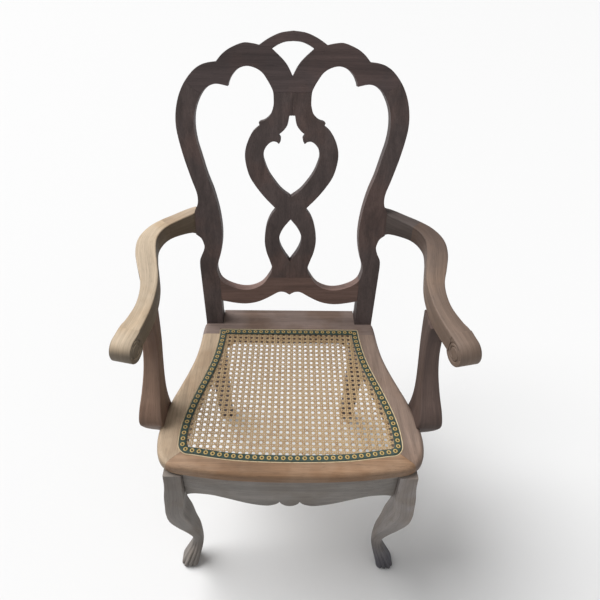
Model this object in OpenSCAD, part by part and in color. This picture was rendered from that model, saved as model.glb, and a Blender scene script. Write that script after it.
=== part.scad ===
// Wooden open armchair: pierced back of two boards under an arched crest,
// cane seat with a woven braid edge, curved arms with rolled ends, and bent
// front legs on carved paws. +Z up, +Y to the rear, floor at Z = 0.

/* [Seat] */
// Height of the top of the seat frame above the floor
seat_h = 440; // [415:5:460]
// Thickness of the seat frame
seat_t = 27; // [24:1:30]
// Thickness of the woven cane sheet
cane_t = 2; // [1.5:0.5:2.5]
// Width of the braid that covers the edge of the cane
braid_w = 14; // [10:1:16]

/* [Back] */
// Lean of the back from the vertical, in degrees
rake = 13.5; // [10:0.5:16]
// Thickness of the boards of the back
back_t = 28; // [24:1:30]

/* [Aprons] */
// Thickness of the aprons under the seat
apron_t = 22; // [18:1:24]
// Depth of the side and rear aprons
apron_d = 52; // [44:2:60]

/* [Arms] */
// How far both rolled arm ends are set to the right of true
arm_set = 5; // [0:1:6]
// Radius of the rolled arm ends
scroll_r = 25; // [22:1:27]

/* [Fastenings] */
// Diameter of the round wooden pegs
peg_d = 10; // [8:1:11]
// Diameter of the screw shanks
screw_d = 4; // [3.5:0.5:5]

/* [Hidden] */
// depth from the front edge of the seat to the front face of the back, and
// the shift that brings the middle of the footprint to the origin
back_y = 352.5;
mid_y = 233.5;
cr_n = 6;
blk = "#6f5f57";
back_c = "#4a3c38";
seat_c = "#b9977a";
leg_c = "#7d726b";
arm_c = "#c4a78a";

// a smooth curve through the points p; the last point is left to the next run
function cr(a, b, c, d, t) = 0.5 * (2 * b + (c - a) * t
  + (2 * a - 5 * b + 4 * c - d) * t * t + (3 * b - a - 3 * c + d) * t * t * t);
function run(p, n = cr_n) = let (m = len(p) - 1) [for (i = [0:m - 1], j = [0:n - 1])
  cr(p[max(0, i - 1)], p[i], p[i + 1], p[min(m, i + 2)], j / n)];
// the same curve without its first stretch, without its last, without both:
// the outer points only say how two curves pass into each other
function tail(p, n = cr_n) = let (q = run(p, n)) [for (i = [n:len(q) - 1]) q[i]];
function lead(p, n = cr_n) = let (q = run(p, n)) [for (i = [0:len(q) - 1 - n]) q[i]];
function inner(p, n = cr_n) = let (q = run(p, n)) [for (i = [n:len(q) - 1 - n]) q[i]];
function last(p) = p[len(p) - 1];
function mir(p) = [for (q = p) [-q[0], q[1]]];
// both halves of an outline that starts and ends on the middle line
function both(p) = concat(p, [for (i = [len(p) - 2:-1:1]) [-p[i][0], p[i][1]]]);
function unit(v) = v / norm(v);
// the outline p moved inwards by d (p runs anticlockwise)
function inset(p, d) = let (n = len(p)) [for (i = [0:n - 1])
  let (a = unit(p[i] - p[(i + n - 1) % n]), b = unit(p[(i + 1) % n] - p[i]),
       m = unit(a + b), c = max(0.5, m * a)) p[i] + d / c * [-m[1], m[0]]];

module stand() { translate([0, -mid_y, seat_h]) children(); }
module flip(s) { if (s < 0) mirror([1, 0, 0]) children(); else children(); }
// a flat board in the leaning plane of the back, t thick, set in by w
module on_back(t = back_t, w = 0) {
  translate([0, back_y, 0]) rotate([90 - rake, 0, 0]) translate([0, 0, -t - w])
    linear_extrude(t) children();
}
// a skin over rings of points, closed at both ends
module skin(r) {
  n = len(r[0]); m = len(r);
  polyhedron(concat([for (q = r) for (p = q) p]), concat(
    [[for (j = [0:n - 1]) j]], [[for (j = [n - 1:-1:0]) (m - 1) * n + j]],
    [for (i = [0:m - 2], j = [0:n - 1]) let (k = (j + 1) % n)
      each [[i * n + j, (i + 1) * n + j, i * n + k],
            [i * n + k, (i + 1) * n + j, (i + 1) * n + k]]]));
}
// a rounded square of half sizes a and b, 16 points
function pad(a, b, e = 0.45) = [for (k = [0:15]) let (c = cos(k * 22.5), s = sin(k * 22.5))
  [a * sign(c) * pow(abs(c), e), b * sign(s) * pow(abs(s), e)]];

// ---- outlines of the back, across and up the leaning plane -----------------
stile_in = inner([[153, 107], [163, 118], [168, 133], [169, 145], [167, 156], [163, 168],
  [158, 189], [154.5, 215], [154.5, 245], [159.5, 284], [169.5, 326], [182, 362],
  [193, 403], [200, 430], [203.5, 458], [202, 485], [196, 506], [186, 525],
  [175, 537]]);
stile_out = concat([[186, 525]], tail([[198, 571], [218, 548], [231.5, 522],
  [239.3, 493], [241.2, 464], [237.2, 434], [228.5, 396], [216, 353], [207, 326],
  [204.5, 310], [206, 296], [213, 281]]), [[213, 281]],
  run([[213, 227], [202, 218], [196.5, 204], [196, 195], [200, 182], [206.5, 168],
  [208, 152], [206.5, 122], [203, 60], [199.6, -2]]), [[199.6, -2]]);
crest_out = concat(run([[0, 641], [25, 637.5], [48, 628], [67, 616]]),
  run([[67, 616], [82, 619], [100, 619.5], [125, 610], [141, 599], [153, 586]]),
  lead([[153, 586], [169, 584], [185, 579], [201, 568], [218, 548], [231.5, 522]]));
crest_in = concat(tail([[196, 506], [186, 525], [175, 537], [162, 543], [150, 544], [131, 540]]),
  lead([[131, 540], [129, 548], [122, 561], [109, 573], [91, 577.5], [73, 573],
  [60, 564], [50, 550], [43.5, 539], [39.5, 529], [38.5, 516]]), [[39.5, 529], [0, 529]]);
crest_eye = concat(run([[0, 559], [9.5, 577], [21, 591], [42, 609.5]]),
  run([[42, 609.5], [30, 616.5], [16, 621.5], [0, 623]]), [[0, 623]]);
splat_out = concat([[0, 122]], tail([[59, 110], [50.5, 122], [43.5, 135], [41.5, 148],
  [47, 166], [54, 186], [58, 212], [55, 243], [46, 268], [32.5, 287]]),
  run([[32.5, 287], [55, 310], [73, 332], [89, 357], [97, 383], [99, 407],
  [93.5, 430], [82, 451], [67, 464]]), [[67, 464], [69.5, 470]],
  lead([[65, 472.5], [55, 476], [44, 487], [39, 503], [38.5, 516], [39.5, 529],
  [43.5, 539]]),
  [[39.5, 529], [0, 529]]);
heart_in = concat([[0, 484]], run([[6, 484], [9.5, 466], [18, 454],
  [28, 446]]), run([[28, 446], [23, 439], [24, 432]]), [[24, 432], [27, 427]],
  run([[32, 431], [40, 432], [49, 427], [57, 416], [60, 401],
  [56, 385], [48, 366], [34.5, 346], [19, 328], [0, 314]]), [[0, 314]]);
lens_in = concat(run([[0, 263], [14, 246], [23, 229], [25, 213], [21, 197],
  [12, 180], [0, 163]]), [[0, 163]]);
rail_back = concat(run([[0, 78.5], [8, 83.5], [17, 86], [28, 84], [52, 70], [75, 59.5],
  [100, 54.5], [125, 55.5], [161.5, 62]]), [[161.5, 62]],
  inner([[168, 133], [163, 118], [153, 107], [137, 98.5], [118, 92.5], [100, 91],
  [84, 94], [69, 101], [59, 110], [50.5, 122], [43.5, 135]]), [[50.5, 122], [0, 122]]);
// side outline of the rear legs, depth and height from the seat top
post_side = concat([[494, 590], [352.5, 0]], run([[352.5, -20], [354, -110],
  [366, -210], [388, -320], [420, -440]]), [[420, -440], [454, -440]],
  run([[454, -440], [424, -320], [405, -210], [399, -110], [397, -20], [399, 40],
  [408, 110]]), [[408, 110], [523, 590]]);

// ---- outlines of the seat, across and back ---------------------------------
seat_right = run([[0, -62], [70, -61], [140, -56.5], [195, -49], [222, -43.5],
  [240, -33], [251, -17], [257, 6], [259, 34], [255, 76], [246, 118], [236, 152],
  [224, 194], [214, 238], [209, 278], [207, 316]]);
seat_full = concat(seat_right, [[207, 316], [206, 340], [200.5, 352.5],
  [160, 352.5], [160, 404], [0, 404]]);
open_right = concat(run([[0, -32], [60, -31], [120, -27], [184, -17]]),
  [for (a = [-75:15:-15]) [189 + 25 * cos(a), 8 + 25 * sin(a)]],
  run([[214.5, 16], [214.5, 34], [213, 56], [209, 82], [202, 114], [194, 146],
  [184, 182], [174, 222], [168, 258], [164, 298]]), [[164, 298], [163, 331], [0, 331]]);
open_line = both(open_right);
apron_right = run([[0, -52], [70, -51], [140, -47], [204, -39]]);

module ring_part(region) {
  difference() {
    intersection() {
      translate([0, 0, -seat_t]) linear_extrude(seat_t) polygon(both(seat_full));
      translate([0, 0, -50]) linear_extrude(60) polygon(region);
    }
    translate([0, 0, -cane_t - 2]) linear_extrude(20) polygon(inset(open_line, -2.5));
    translate([0, 0, -60]) linear_extrude(100) polygon(inset(open_line, braid_w + 1));
    // holes for the pegs of the mitres and the rear joints
    for (s = [-1, 1]) {
      seat_peg_at(s) peg(26, peg_d + 0.4);
      rear_peg_at(s) peg(44, peg_d + 0.4);
    }
  }
}
module seat_peg_at(s) {
  flip(s) translate([221, -26, -14]) rotate([0, 0, -45]) rotate([90, 0, 0]) children();
}
module rear_peg_at(s) { flip(s) translate([187, 316, -14]) rotate([90, 0, 0]) children(); }

module seat_frame_front() { color(seat_c) stand() ring_part([[-300, -102], [300, -102],
  [204, -9], [-204, -9]]); }
module seat_side(s) { color(seat_c) stand() ring_part(s > 0
  ? [[300, -102], [300, 316], [130, 316], [130, 60], [204, -9]]
  : [[-300, -102], [-204, -9], [-130, 60], [-130, 316], [-300, 316]]); }
module seat_frame_left() { seat_side(-1); }
module seat_frame_right() { seat_side(1); }
module seat_frame_rear() { color(seat_c) stand() ring_part([[-300, 316], [300, 316],
  [300, 420], [-300, 420]]); }

module cane_panel() { color("#cdb183") stand() translate([0, 0, -cane_t - 2])
  linear_extrude(cane_t) polygon(open_line); }
module cane_spline() { color("#e4d6b4") stand() translate([0, 0, -cane_t - 2])
  linear_extrude(cane_t + 2) difference() { polygon(inset(open_line, -2.5));
  polygon(open_line); } }
module braid_trim() { color("#1f3a2c") stand() translate([0, 0, -2])
  linear_extrude(3) difference() { polygon(inset(open_line, 0.3));
  polygon(inset(open_line, braid_w)); } }

// ---- back ------------------------------------------------------------------
module back_peg_at(s) {
  // lower rail to the rear legs, two pegs a side
  for (v = [70, 89]) on_back_at(s * 162, v) rotate([0, 90, 0]) children();
}
module crest_peg_at(s) {
  on_back_at(s * 201, 536.5) rotate([0, 0, s * 34]) rotate([90, 0, 0]) children();
  on_back_at(s * 26, 529) rotate([90, 0, 0]) children();
  on_back_at(s * 25, 122) rotate([90, 0, 0]) children();
}
module on_back_at(u, v) {
  translate([0, back_y, 0]) rotate([90 - rake, 0, 0]) translate([u, v, -back_t / 2])
    children();
}
module peg(l, d = peg_d) { cylinder(h = l, d = d, center = true, $fn = 24); }

module rear_leg(s) {
  color(back_c) stand() difference() {
    intersection() {
      union() {
        on_back(80, -10) flip(s) polygon(concat([[161, -2]], stile_in, stile_out));
        flip(s) translate([0, 500, 0]) rotate([90, 0, 0]) linear_extrude(200)
          polygon([[160.5, 6], [160.5, -90], [166, -440], [199, -440], [200, -90], [200, 6]]);
      }
      translate([s > 0 ? 100 : -300, 0, 0]) rotate([90, 0, 90]) linear_extrude(200)
        polygon(post_side);
    }
    back_peg_at(s) peg(46, peg_d + 0.4);
    crest_peg_at(s) peg(46, peg_d + 0.4);
    arm_peg_at(s) peg(52, peg_d + 0.4);
    apron_tenon_at(s) tenon(0.2);
    block_screw_at(s) peg(60, screw_d + 0.3);
  }
}
module rear_leg_left() { rear_leg(-1); }
module rear_leg_right() { rear_leg(1); }
module crest_rail() {
  color(back_c) stand() difference() {
    on_back() difference() { polygon(both(concat(crest_out, [[218, 548]], crest_in)));
      polygon(both(crest_eye)); }
    for (s = [-1, 1]) crest_peg_at(s) peg(46, peg_d + 0.4);
  }
}
module splat(s) {
  color(back_c) stand() difference() {
    on_back() flip(s) difference() { polygon(splat_out); polygon(heart_in);
      polygon(lens_in); }
    crest_peg_at(s) peg(46, peg_d + 0.4);
    splat_peg_at() peg(34, peg_d + 0.4);
  }
}
module splat_peg_at() { for (v = [140, 288, 507]) on_back_at(0, v) rotate([0, 90, 0]) children(); }
module splat_left_half() { splat(-1); }
module splat_right_half() { splat(1); }
module lower_back_rail() {
  color(back_c) stand() difference() {
    on_back() polygon(both(rail_back));
    for (s = [-1, 1]) { back_peg_at(s) peg(46, peg_d + 0.4);
      crest_peg_at(s) peg(46, peg_d + 0.4); }
  }
}
module back_pegs() { color(blk) stand() for (s = [-1, 1]) back_peg_at(s) peg(44); }
module crest_pegs() { color(blk) stand() { for (s = [-1, 1]) crest_peg_at(s) peg(44);
  splat_peg_at() peg(32); } }

// ---- aprons ----------------------------------------------------------------
apron_low = concat([[205, -20], [205, -110]], run([[205, -110], [202, -102], [192, -96],
  [176, -92.5], [150, -92], [120, -99.5], [95, -108], [70, -115], [46, -118.5], [32, -115],
  [24, -110], [19.5, -104]]), run([[19.5, -104], [16, -111], [8, -117], [0, -118.5]]),
  [[0, -118.5]]);
module front_apron() {
  color(leg_c) stand() difference() {
    intersection() {
      translate([0, 0, -130]) linear_extrude(130 - seat_t)
        polygon(concat(both(concat(apron_right, [[204, -39]], [[204, -17], [140, -25],
        [70, -29], [0, -30]]))));
      translate([0, 50, 0]) rotate([90, 0, 0]) linear_extrude(150) polygon(both_v(apron_low));
    }
    for (s = [-1, 1]) apron_tenon_at(s) tenon(0.2);
  }
}
function both_v(p) = concat(p, [for (i = [len(p) - 2:-1:0]) [-p[i][0], p[i][1]]]);
// inner and outer lines of a side apron, front leg to rear leg
side_line = run([[239, 0], [242.5, 34], [240.5, 76], [234.5, 118], [225.5, 152], [214.5, 194],
  [205, 238], [200, 278], [198, 316], [197, 352.5]], 3);
module side_apron(s) {
  color(leg_c) stand() difference() {
    translate([0, 0, -seat_t - apron_d]) linear_extrude(apron_d) flip(s)
      polygon(concat(side_line, [[197, 352.5], [175, 352.5]],
        [for (i = [len(side_line) - 1:-1:0]) side_line[i] - [apron_t, 0]]));
    apron_tenon_at(s) tenon(0.2);
    support_screw_at(s) peg(60, screw_d + 0.3);
  }
}
module side_apron_left() { side_apron(-1); }
module side_apron_right() { side_apron(1); }
module rear_apron() {
  color(leg_c) stand() difference() {
    translate([-160.5, 366, -seat_t - apron_d]) cube([321, apron_t, apron_d]);
    for (s = [-1, 1]) apron_tenon_at(s) tenon(0.2);
  }
}
// loose tenons of the aprons: front and side into the front leg, side and
// rear into the rear leg
module apron_tenon_at(s) {
  flip(s) {
    translate([205, -29, -52]) rotate([0, 0, 0]) children();
    translate([231, 0, -53]) rotate([0, 0, 90]) children();
    translate([186, 352.5, -53]) rotate([0, 0, 90]) children();
    translate([160.5, 377, -53]) children();
  }
}
module tenon(g = 0) { cube([36 + 2 * g, 8 + 2 * g, 30 + 2 * g], center = true); }
module apron_tenons() { color(blk) stand() for (s = [-1, 1]) apron_tenon_at(s) tenon(); }

// ---- front legs: centre across, centre back, height, half sizes -------------
leg_rows = [[222, -24, -27, 17, 24], [222.5, -25, -60, 17.5, 25], [225, -26, -95, 19.6, 25.5],
  [229.5, -26, -130, 18, 25.5], [232, -24, -165, 18.5, 25], [228.5, -17, -210, 22, 23],
  [222.5, -7, -258, 19, 20], [214.5, 3, -303, 15.5, 17], [210, 10, -342, 12.5, 14],
  [209.5, 12, -366, 12, 13.5], [213, 9, -387, 14, 16], [222, 1, -409, 17, 20],
  [229.5, -5, -428, 19.5, 22], [230, -5, -440, 17.5, 20]];
module front_leg(s) {
  color(leg_c) stand() difference() {
    flip(s) union() {
      skin([for (q = [for (i = [0:len(leg_rows) - 1]) leg_rows[len(leg_rows) - 1 - i]])
        [for (p = pad(q[3], q[4], q[2] > -100 ? 0.25 : 0.5)) [q[0] + p[0], q[1] + p[1], q[2]]]]);
      // square head that takes the aprons
      translate([205, -48, -95]) cube([34, 48, 95 - seat_t]);
    }
    apron_tenon_at(s) tenon(0.2);
    block_screw_at(s) peg(60, screw_d + 0.3);
  }
}
module front_leg_left() { front_leg(-1); }
module front_leg_right() { front_leg(1); }

// ---- arms: centre across, centre back, half width, top, bottom, heading -----
arm_rows = [[213, 426, 14.4, 271, 222, 0, 0.24], [228, 418, 14.5, 269, 226, 34, 0.2],
  [250, 401, 15, 267.5, 229, 40, 0.1], [274, 381, 16, 266, 229, 45], [291, 357, 18, 264, 227, 62],
  [301, 326, 20, 260, 223, 86], [298.5, 290, 21, 254.5, 217, 100],
  [289, 252, 20, 247.5, 209, 106], [279, 214, 17.5, 241, 201, 104],
  [276, 178, 16, 235, 194, 94], [279, 142, 16, 228.5, 187, 80],
  [287, 106, 16.5, 222, 183, 72], [298, 70, 18, 217.5, 181, 70]];
function arm_ring(q, s) = let (dx = s * arm_set * pow(max(0, (380 - q[1]) / 310), 2))
  [for (p = head(pad(q[2], (q[3] - q[4]) / 2, q[6] ? 0.2 : 0.4)))
  [q[0] + dx - p[0] * sin(q[5]), q[1] - p[0] * cos(q[5]) + (q[6] ? q[6] * p[1] : 0),
  (q[3] + q[4]) / 2 + p[1]]];
function head(r) = [for (i = [0:15]) r[15 - i]];
module arm_run(a, b, s) { flip(s) skin([for (i = [a:b]) arm_ring(arm_rows[i], s)]); }
module arm_peg_at(s) {
  flip(s) { for (z = [236, 258]) translate([213, 426 + 0.24 * (z - 247), z])
    rotate([0, 90, 0]) children(); }
}
module elbow_peg_at(s) {
  flip(s) for (z = [238, 256]) translate([275, 380, z]) rotate([0, 0, -45]) rotate([0, 90, 0])
    children();
}
module support_peg_at(s) { flip(s) translate([278, 158, 190]) children(); }
module arm_elbow(s) {
  color(arm_c) stand() difference() {
    arm_run(0, 3, s);
    arm_peg_at(s) peg(52, peg_d + 0.4);
    elbow_peg_at(s) peg(30, peg_d + 0.4);
  }
}
module arm_elbow_left() { arm_elbow(-1); }
module arm_elbow_right() { arm_elbow(1); }
module arm(s) {
  color(arm_c) stand() difference() {
    union() {
      arm_run(3, len(arm_rows) - 1, s);
      flip(s) translate([300 + s * arm_set, 66, 192.5]) rotate([0, 0, 20]) rotate([0, 90, 0])
        cylinder(h = 40, r = scroll_r, center = true, $fn = 40);
    }
    elbow_peg_at(s) peg(30, peg_d + 0.4);
    support_peg_at(s) peg(44, peg_d + 0.4);
  }
}
module arm_left() { arm(-1); }
module arm_right() { arm(1); }
module arm_pegs() { color(blk) stand() for (s = [-1, 1]) { arm_peg_at(s) peg(50);
  elbow_peg_at(s) peg(28); support_peg_at(s) peg(40); } }

// ---- arm supports: centre across, centre back, height, half sizes -----------
sup_rows = [[246, 101, -70, 11, 11], [255, 97, -54, 19, 19], [267, 91, -32, 20, 27],
  [271, 83, -10, 22.5, 34], [272.5, 78, 12, 23, 37], [273, 84, 35, 21.5, 33],
  [271.5, 100, 65, 18.5, 25], [270, 118, 100, 16, 21], [270, 134, 135, 15, 20.5],
  [273, 149, 165, 15, 23], [276, 158, 188.5, 15, 28]];
module arm_support(s) {
  color(arm_c) stand() difference() {
    flip(s) skin([for (q = sup_rows) [for (p = pad(q[3], q[4], 0.5))
      [q[0] + p[0], q[1] + p[1], q[2]]]]);
    arm_run(3, len(arm_rows) - 1, s);
    translate([0, 0, -seat_t]) linear_extrude(seat_t + 0.01) polygon(both(seat_full));
    translate([0, 0, -100]) linear_extrude(100.01 - seat_t) flip(s)
      polygon(concat(side_line, [[197, 352.5], [100, 352.5], [100, 0]]));
    support_peg_at(s) peg(44, peg_d + 0.4);
    support_screw_at(s) peg(60, screw_d + 0.3);
  }
}
module arm_support_left() { arm_support(-1); }
module arm_support_right() { arm_support(1); }
module support_screw_at(s) {
  for (y = [86, 106]) flip(s) translate([231.8, y, -46]) rotate([0, 90, 0]) children();
}
module screw(l) { translate([0, 0, -l / 2]) { cylinder(h = l, d = screw_d, $fn = 20);
  translate([0, 0, -2.5]) cylinder(h = 2.5, d = screw_d * 2, $fn = 20); } }
module support_screws() { color("silver") stand() for (s = [-1, 1])
  support_screw_at(s) screw(36); }

// ---- corner blocks ----------------------------------------------------------
module corner_block_front(s) {
  color(blk) stand() difference() {
    translate([0, 0, -62]) linear_extrude(30) flip(s)
      polygon([[203, 1.5], [216, 1.5], [218, 23], [174.5, -20.5], [203, -16.5]]);
    block_screw_at(s) peg(60, screw_d + 0.3);
  }
}
module corner_block_rear(s) {
  color(blk) stand() difference() {
    translate([0, 0, -62]) linear_extrude(30) flip(s)
      polygon([[160, 352], [175, 352], [176, 306], [116, 366], [160, 366]]);
    block_screw_at(s) peg(60, screw_d + 0.3);
  }
}
module corner_block_front_left() { corner_block_front(-1); }
module corner_block_front_right() { corner_block_front(1); }
module corner_block_rear_left() { corner_block_rear(-1); }
module corner_block_rear_right() { corner_block_rear(1); }
module block_screw_at(s) {
  flip(s) {
    translate([211.7, -7.2, -47]) rotate([90, 0, 45]) children();
    translate([158, 348, -47]) rotate([90, 0, 135]) children();
  }
}
module block_screws() { color("silver") stand() for (s = [-1, 1]) block_screw_at(s) screw(34); }
module seat_pegs() { color(blk) stand() for (s = [-1, 1]) { seat_peg_at(s) peg(24);
  rear_peg_at(s) peg(42); } }

rear_leg_left();
rear_leg_right();
crest_rail();
splat_left_half();
splat_right_half();
lower_back_rail();
seat_frame_front();
seat_frame_left();
seat_frame_right();
seat_frame_rear();
front_apron();
side_apron_left();
side_apron_right();
rear_apron();
front_leg_left();
front_leg_right();
arm_left();
arm_right();
arm_elbow_left();
arm_elbow_right();
arm_support_left();
arm_support_right();
corner_block_front_left();
corner_block_front_right();
corner_block_rear_left();
corner_block_rear_right();
cane_panel();
cane_spline();
braid_trim();
back_pegs();
crest_pegs();
seat_pegs();
arm_pegs();
apron_tenons();
support_screws();
block_screws();
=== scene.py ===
# %% [markdown]
# # A wooden open armchair
# This lesson builds the looks of an armchair: a pierced, leaning back, a woven
# cane seat edged with braid, curved arms with rolled ends and bent front legs.
# The measured frame of the chair is loaded first. It gives every piece its
# place, so nothing here has to be fitted by eye.

# %% Load the frame
import bpy
import bmesh
from math import sin, cos, pi, radians, ceil, exp, atan2
from mathutils import Vector, Matrix
from mathutils.bvhtree import BVHTree


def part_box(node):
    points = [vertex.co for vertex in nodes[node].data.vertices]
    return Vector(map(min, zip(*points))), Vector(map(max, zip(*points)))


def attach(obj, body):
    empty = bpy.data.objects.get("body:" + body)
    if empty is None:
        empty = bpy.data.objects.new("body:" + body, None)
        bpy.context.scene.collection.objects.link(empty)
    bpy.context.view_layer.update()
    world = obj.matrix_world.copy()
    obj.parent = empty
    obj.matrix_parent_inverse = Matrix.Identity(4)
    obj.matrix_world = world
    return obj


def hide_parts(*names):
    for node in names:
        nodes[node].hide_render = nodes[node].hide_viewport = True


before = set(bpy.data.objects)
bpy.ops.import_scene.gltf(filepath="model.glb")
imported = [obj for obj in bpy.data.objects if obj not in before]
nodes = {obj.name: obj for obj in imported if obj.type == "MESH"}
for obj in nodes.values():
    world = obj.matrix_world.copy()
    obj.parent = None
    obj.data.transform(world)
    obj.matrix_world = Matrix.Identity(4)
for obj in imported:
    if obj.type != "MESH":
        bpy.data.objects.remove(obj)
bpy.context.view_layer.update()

# %% [markdown]
# ## Places on the chair
# A chair maker measures from the seat. Here a place is given in millimetres:
# across from the middle, back from a line near the front edge, and up from the
# seat's top. One function turns that into metres on the floor-based frame.

# %% A place in millimetres
SEAT_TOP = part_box("seat_frame_front")[1][2]
MM = 0.001
NOSE = 62 * MM
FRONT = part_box("seat_frame_front")[0][1] + NOSE


def place(across, back, up):
    return Vector((across * MM, FRONT + back * MM, SEAT_TOP + up * MM))


print("seat top", round(SEAT_TOP, 4), "front line", round(FRONT, 4))

# %% [markdown]
# ## A fair curve
# Furniture curves are drawn through a few marked points with a bent batten.
# A Catmull-Rom spline does the same: it passes through every point and stays
# smooth, whatever each point holds, two numbers or seven.

# %% A curve through points
def fair(points, steps=6):
    out = []
    last = len(points) - 1
    for i in range(last):
        a, b = points[max(0, i - 1)], points[i]
        c, d = points[i + 1], points[min(last, i + 2)]
        for k in range(steps):
            t = k / steps
            out.append([0.5 * (2 * q + (r - p) * t + (2 * p - 5 * q + 4 * r - s) * t * t
                               + (3 * q - p - 3 * r + s) * t ** 3)
                        for p, q, r, s in zip(a, b, c, d)])
    return out + [list(points[last])]


print("a curve through 3 points has", len(fair([[0, 0], [1, 2], [2, 0]])), "points")

# %% [markdown]
# ## Nodes
# Finishes and Geometry Nodes are both trees of nodes. Adding a node, setting it
# and wiring it takes many lines, so one helper does all three, and a tree then
# reads as a list of what it does.

# %% One node with its settings and wires
def add(tree, kind, wires=None, **settings):
    """A new node. wires gives an input a socket to link to, or a plain value."""
    node = tree.nodes.new(kind)
    for label, value in settings.items():
        setattr(node, label, value)
    for label, value in (wires or {}).items():
        if isinstance(value, bpy.types.NodeSocket):
            tree.links.new(value, node.inputs[label])
        else:
            node.inputs[label].default_value = value
    return node


def math(tree, op, a, b=None):
    return add(tree, "ShaderNodeMath", {0: a} if b is None else {0: a, 1: b},
               operation=op).outputs[0]


def new_finish(name, **values):
    """A material with its tree and shader; values set the shader's own inputs."""
    mat = bpy.data.materials.new(name)
    mat.use_nodes = True
    shader = mat.node_tree.nodes["Principled BSDF"]
    for label, value in values.items():
        shader.inputs[label.replace("_", " ")].default_value = value
    return mat, mat.node_tree, shader


# %% [markdown]
# The same few parts come back in each finish: a noise, a ramp that turns it into
# colour, a change of range, and a dent that bends the light.

# %% Parts of a finish
def noise(tree, source, scale, detail, rough=0.5, bend=0.0):
    return add(tree, "ShaderNodeTexNoise", {
        "Vector": source, "Scale": scale, "Detail": detail, "Roughness": rough,
        "Distortion": bend}).outputs["Fac"]


def ramp(tree, amount, *stops):
    """Colour read off between stops, each a position and a colour."""
    node = add(tree, "ShaderNodeValToRGB", {"Fac": amount})
    ends = node.color_ramp.elements
    for end, (position, colour) in ((ends[0], stops[0]), (ends[1], stops[-1])):
        end.position = position
        end.color = (*colour, 1)
    for position, colour in stops[1:-1]:
        node.color_ramp.elements.new(position).color = (*colour, 1)
    return node.outputs["Color"]


def ranged(tree, amount, low, high, start=0.0, stop=1.0, kind="LINEAR"):
    """amount between start and stop, turned into low to high."""
    return add(tree, "ShaderNodeMapRange", {
        "Value": amount, "From Min": start, "From Max": stop, "To Min": low,
        "To Max": high}, interpolation_type=kind).outputs["Result"]


def scaled(tree, colour, amount):
    return add(tree, "ShaderNodeVectorMath", {0: colour, "Scale": amount},
               operation="SCALE").outputs["Vector"]


def tinted(tree, colour, tone):
    return add(tree, "ShaderNodeVectorMath", {0: colour, 1: tone},
               operation="MULTIPLY").outputs["Vector"]


def blended(tree, amount, first, second):
    return add(tree, "ShaderNodeMix", {"Factor": amount, 4: first, 5: second},
               data_type="VECTOR").outputs[1]


def dented(tree, shader, height, strength, depth):
    bump = add(tree, "ShaderNodeBump", {"Height": height, "Strength": strength,
                                        "Distance": depth})
    tree.links.new(bump.outputs["Normal"], shader.inputs["Normal"])


def light_of(r, g, b):
    """A display colour of 0 to 255 as amounts of light."""
    return [(c / 255) ** 2.2 for c in (r, g, b)]


print("finish helpers ready")

# %% [markdown]
# ## Wood
# The chair is stripped and sanded hardwood with no polish. Up close such wood
# has three things: a slow change of colour along the board, fine fibres, and
# short open pores. Each is one noise, stretched along the grain, and the pores
# also dent the surface a little. The grain runs along an axis of the piece, or
# along its own UV map where the piece is bent. Shade is painted in: what faces up
# keeps its colour, and sides and undersides are painted darker, so each piece
# carries a value on its corners, from how far they face up, that sets this painted shade.

# %% The wood finish
def stretched(tree, source, along, across, length, offset):
    """Places squeezed across the grain and stretched along it."""
    scale = [across] * 3
    scale[{"X": 0, "Y": 1, "Z": 2, "UV": 0}[along]] = length
    return add(tree, "ShaderNodeMapping", {
        "Vector": source, "Scale": scale,
        "Location": (offset, offset * 0.7, offset * 1.3)}).outputs["Vector"]


def patched(tree, colour, source, stain):
    """Patches of old stain that the stripper left in the wood."""
    patch = noise(tree, source, 9.0, 3.0, rough=0.6)
    return blended(tree, ranged(tree, patch, 0.0, 1.0, 0.46, 0.62), colour,
                   tinted(tree, colour, stain))


def painted_end_shade(tree, colour, source, fade):
    """Painted shade: a darker, cooler tone towards one end of the UV length."""
    tone, start, stop = fade
    along = add(tree, "ShaderNodeSeparateXYZ", {"Vector": source}).outputs["X"]
    reach = ranged(tree, along, 0.0, 1.0, start, stop, "SMOOTHSTEP")
    return blended(tree, reach, tinted(tree, colour, tone), colour)


def wood_finish(name, deep, mid, pale, along="Z", fade=None, stain=None, sides=0.7):
    """sides is how much of its lightness the wood keeps where it doesn't face up: painted shade
    on sides and undersides.
    """
    mat, t, shader = new_finish(name, Specular_IOR_Level=0.32)
    coord = add(t, "ShaderNodeTexCoord")
    source = coord.outputs["UV" if along == "UV" else "Object"]
    figure = noise(t, stretched(t, source, along, 42, 3.2, 3), 1.0, 4.0, bend=0.9)
    fibre = noise(t, stretched(t, source, along, 380, 9, 11), 1.0, 6.0, rough=0.7)
    pores = noise(t, stretched(t, source, along, 1300, 60, 23), 1.0, 2.0)
    shade = math(t, "MULTIPLY", ranged(t, fibre, 0.76, 1.12, 0.3, 0.7),
                 ranged(t, pores, 1.0, 0.62, 0.60, 0.72))
    colour = scaled(t, ramp(t, figure, (0.30, deep), (0.5, mid), (0.72, pale)), shade)
    if stain is not None:
        colour = patched(t, colour, coord.outputs["Object"], stain)
    # painted light and shade: full colour where a face looks up, darker where it looks sideways
    # or down
    facing = add(t, "ShaderNodeAttribute", attribute_name="painted_top_light").outputs["Fac"]
    colour = scaled(t, colour, ranged(t, facing, sides, 1.0))
    # painted shade, darker towards one end of the piece
    if fade is not None:
        colour = painted_end_shade(t, colour, source, fade)
    t.links.new(colour, shader.inputs["Base Color"])
    t.links.new(ranged(t, figure, 0.53, 0.72), shader.inputs["Roughness"])
    dented(t, shader, shade, 0.555, 0.6 * MM)
    return mat


def tones(r, g, b, spread=0.28):
    """Deep, middle and pale tones of one display colour."""
    mid = light_of(r, g, b)
    return ([c * (1 - spread) for c in mid], mid,
            [min(1, c * (1 + spread)) for c in mid])
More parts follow.
